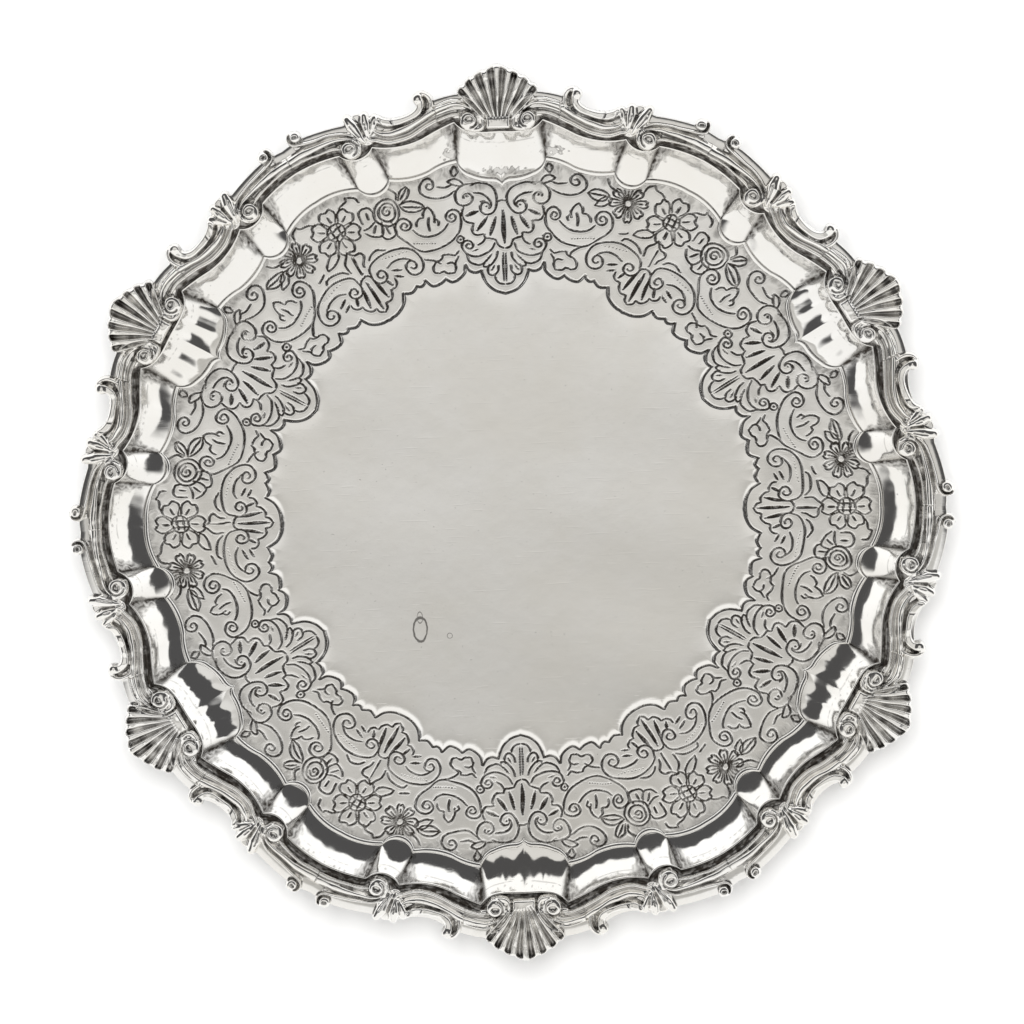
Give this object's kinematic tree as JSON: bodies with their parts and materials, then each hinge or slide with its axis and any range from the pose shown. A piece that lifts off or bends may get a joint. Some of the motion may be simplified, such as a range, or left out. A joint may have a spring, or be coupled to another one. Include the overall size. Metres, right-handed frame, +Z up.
{
  "type": "silver salver",
  "caption": "Round footed silver serving tray with a shaped well, a cast border of shells and scrolls and a flat floor to carry glasses.",
  "frame": {"origin": "on the table under the middle of the salver, level with the soles of the feet", "axes": "+Z up along the axis of the salver; +Y out through shell 1, which stands over foot 1"},
  "size_m": [0.2996, 0.3072, 0.0314],
  "materials": {
    "polished_silver": "polished sterling sheet with fine scratches",
    "cast_silver": "polished cast sterling with dark patina in the recesses"
  },
  "bodies": {
    "root": {"tray": "polished_silver", "shell_casting_1": "cast_silver", "shell_casting_2": "cast_silver", "shell_casting_3": "cast_silver", "shell_casting_4": "cast_silver", "shell_casting_5": "cast_silver", "shell_casting_6": "cast_silver", "scroll_casting_1_left": "cast_silver", "scroll_casting_1_right": "cast_silver", "scroll_casting_2_left": "cast_silver", "scroll_casting_2_right": "cast_silver", "scroll_casting_3_left": "cast_silver", "scroll_casting_3_right": "cast_silver", "scroll_casting_4_left": "cast_silver", "scroll_casting_4_right": "cast_silver", "scroll_casting_5_left": "cast_silver", "scroll_casting_5_right": "cast_silver", "scroll_casting_6_left": "cast_silver", "scroll_casting_6_right": "cast_silver", "scroll_foot_1": "cast_silver", "scroll_foot_2": "cast_silver", "scroll_foot_3": "cast_silver"}
  },
  "joints": []
}
